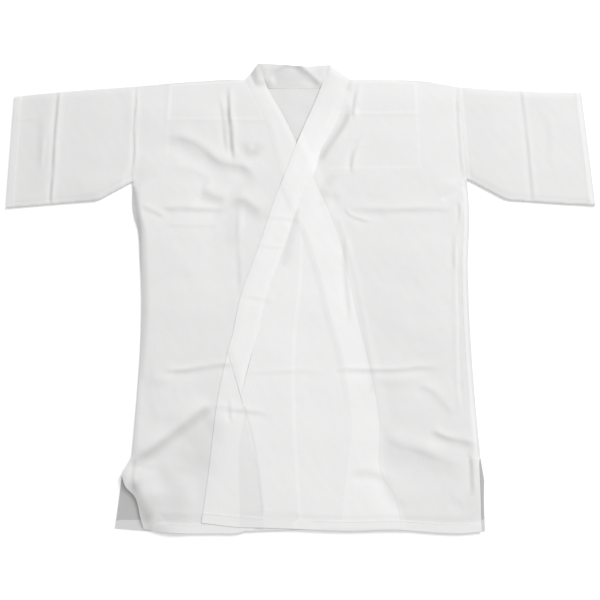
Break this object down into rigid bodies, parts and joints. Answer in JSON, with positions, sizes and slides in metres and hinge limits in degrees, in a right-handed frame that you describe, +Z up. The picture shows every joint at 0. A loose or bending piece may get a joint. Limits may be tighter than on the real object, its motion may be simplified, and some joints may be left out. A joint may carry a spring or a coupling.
{
  "type": "juban, a half-length cotton under-robe, laid flat",
  "caption": "Kimono-cut half-length cotton under-robe laid flat, left front over right, with a band collar, short sleeves, shoulder lining and side slits.",
  "frame": {"origin": "on the surface that the garment lies on, under the middle of its bounding box", "axes": "+X towards the cuff of the wearer's left sleeve, +Y from the hem towards the neck, +Z up from the surface, out of the front"},
  "size_m": [1.148, 0.934, 0.0128],
  "materials": {
    "cotton_gauze": "thin plain-weave bleached cotton, matte, slightly see-through",
    "collar_cotton": "the same bleached cotton, folded double, matte"
  },
  "bodies": {
    "root": {"body_right": "cotton_gauze", "body_left": "cotton_gauze", "shoulder_lining": "cotton_gauze", "okumi_right": "cotton_gauze", "okumi_left": "cotton_gauze", "sleeve_right": "cotton_gauze", "sleeve_left": "cotton_gauze", "collar_right": "collar_cotton", "collar_neck": "collar_cotton", "collar_left": "collar_cotton"}
  },
  "joints": []
}
